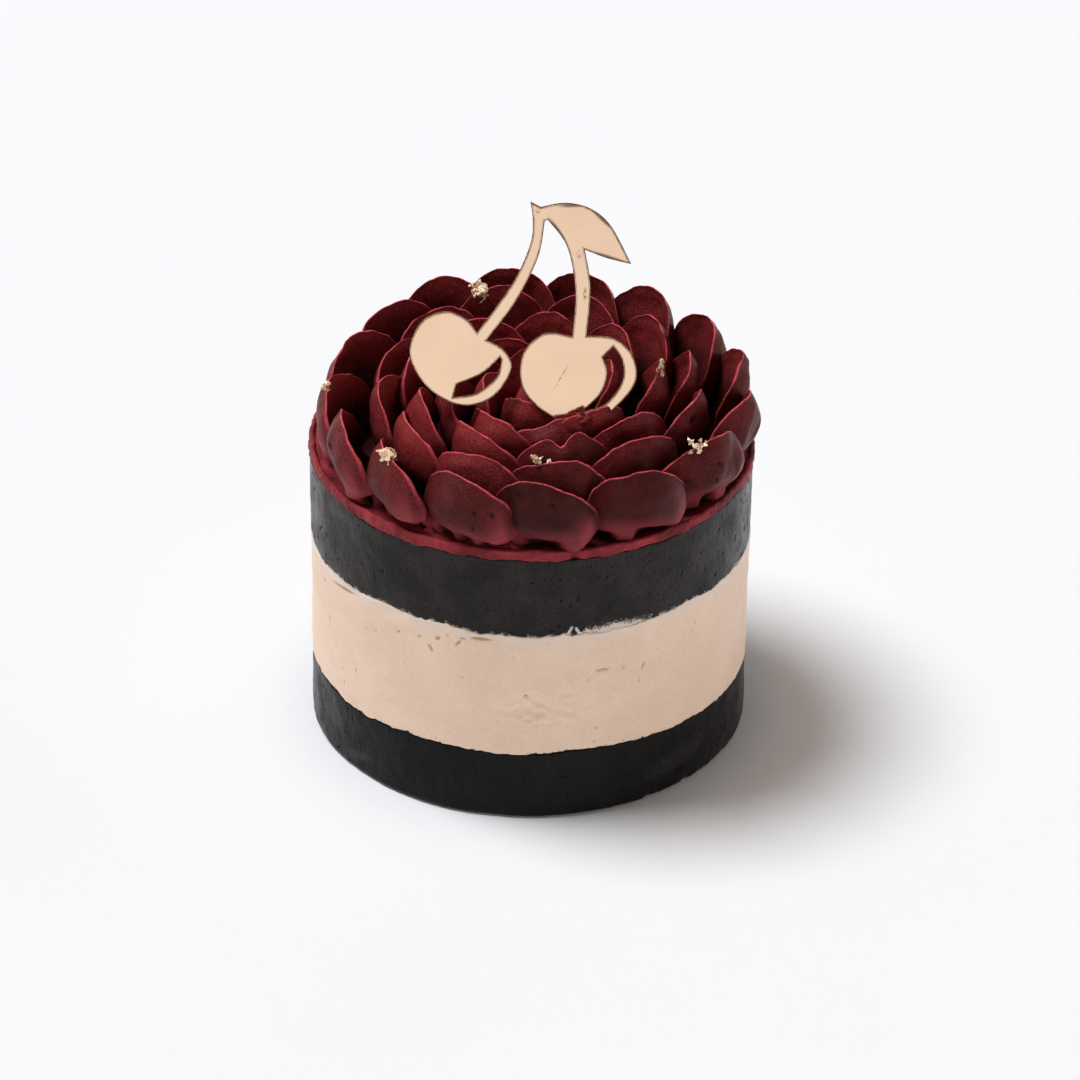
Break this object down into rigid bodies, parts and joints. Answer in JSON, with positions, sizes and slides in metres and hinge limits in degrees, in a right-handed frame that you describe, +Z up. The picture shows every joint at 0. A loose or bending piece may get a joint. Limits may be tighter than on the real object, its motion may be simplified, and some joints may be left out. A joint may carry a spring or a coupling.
{
  "type": "black forest cake",
  "caption": "Petite round layer cake of dark sponge and cream, topped with a piped burgundy flower and a flat mirror cherry topper.",
  "frame": {"origin": "middle of the cake's flat underside", "axes": "+Z up through the cake's axis, -Y towards the side that the topper faces, +X to the right as seen from there"},
  "size_m": [0.1031, 0.1064, 0.1302],
  "materials": {
    "sponge": "dense dark chocolate sponge, cut and chilled smooth, with fine pinholes",
    "cream": "set vanilla cream, satin, with small pits and faint knife marks",
    "burgundy": "piped burgundy ganache cream, satin, with fine lines from the piping tip",
    "topper_mirror": "thin gold mirror plate with dark cut edges",
    "gold_leaf": "crumpled flakes of gold leaf"
  },
  "bodies": {
    "root": {"base_sponge": "sponge", "cream_layer": "cream", "upper_sponge": "sponge", "burgundy_disc": "burgundy", "cherry_topper": "topper_mirror", "petal_outer_01": "burgundy", "petal_outer_02": "burgundy", "petal_outer_03": "burgundy", "petal_outer_04": "burgundy", "petal_outer_05": "burgundy", "petal_outer_06": "burgundy", "petal_outer_07": "burgundy", "petal_outer_08": "burgundy", "petal_outer_09": "burgundy", "petal_outer_10": "burgundy", "petal_outer_11": "burgundy", "petal_outer_12": "burgundy", "petal_outer_13": "burgundy", "petal_outer_14": "burgundy", "petal_outer_15": "burgundy", "petal_outer_16": "burgundy", "petal_second_01": "burgundy", "petal_second_02": "burgundy", "petal_second_03": "burgundy", "petal_second_04": "burgundy", "petal_second_05": "burgundy", "petal_second_06": "burgundy", "petal_second_07": "burgundy", "petal_second_08": "burgundy", "petal_second_09": "burgundy", "petal_second_10": "burgundy", "petal_second_11": "burgundy", "petal_second_12": "burgundy", "petal_third_01": "burgundy", "petal_third_02": "burgundy", "petal_third_03": "burgundy", "petal_third_04": "burgundy", "petal_third_05": "burgundy", "petal_third_06": "burgundy", "petal_third_07": "burgundy", "petal_third_08": "burgundy", "petal_third_09": "burgundy", "petal_fourth_01": "burgundy", "petal_fourth_02": "burgundy", "petal_fourth_03": "burgundy", "petal_fourth_04": "burgundy", "petal_fourth_05": "burgundy", "petal_fourth_06": "burgundy", "petal_fourth_07": "burgundy", "petal_fourth_08": "burgundy", "petal_inner_01": "burgundy", "petal_inner_02": "burgundy", "petal_inner_03": "burgundy", "petal_inner_04": "burgundy", "petal_centre_01": "burgundy", "petal_centre_02": "burgundy"}
  },
  "joints": []
}
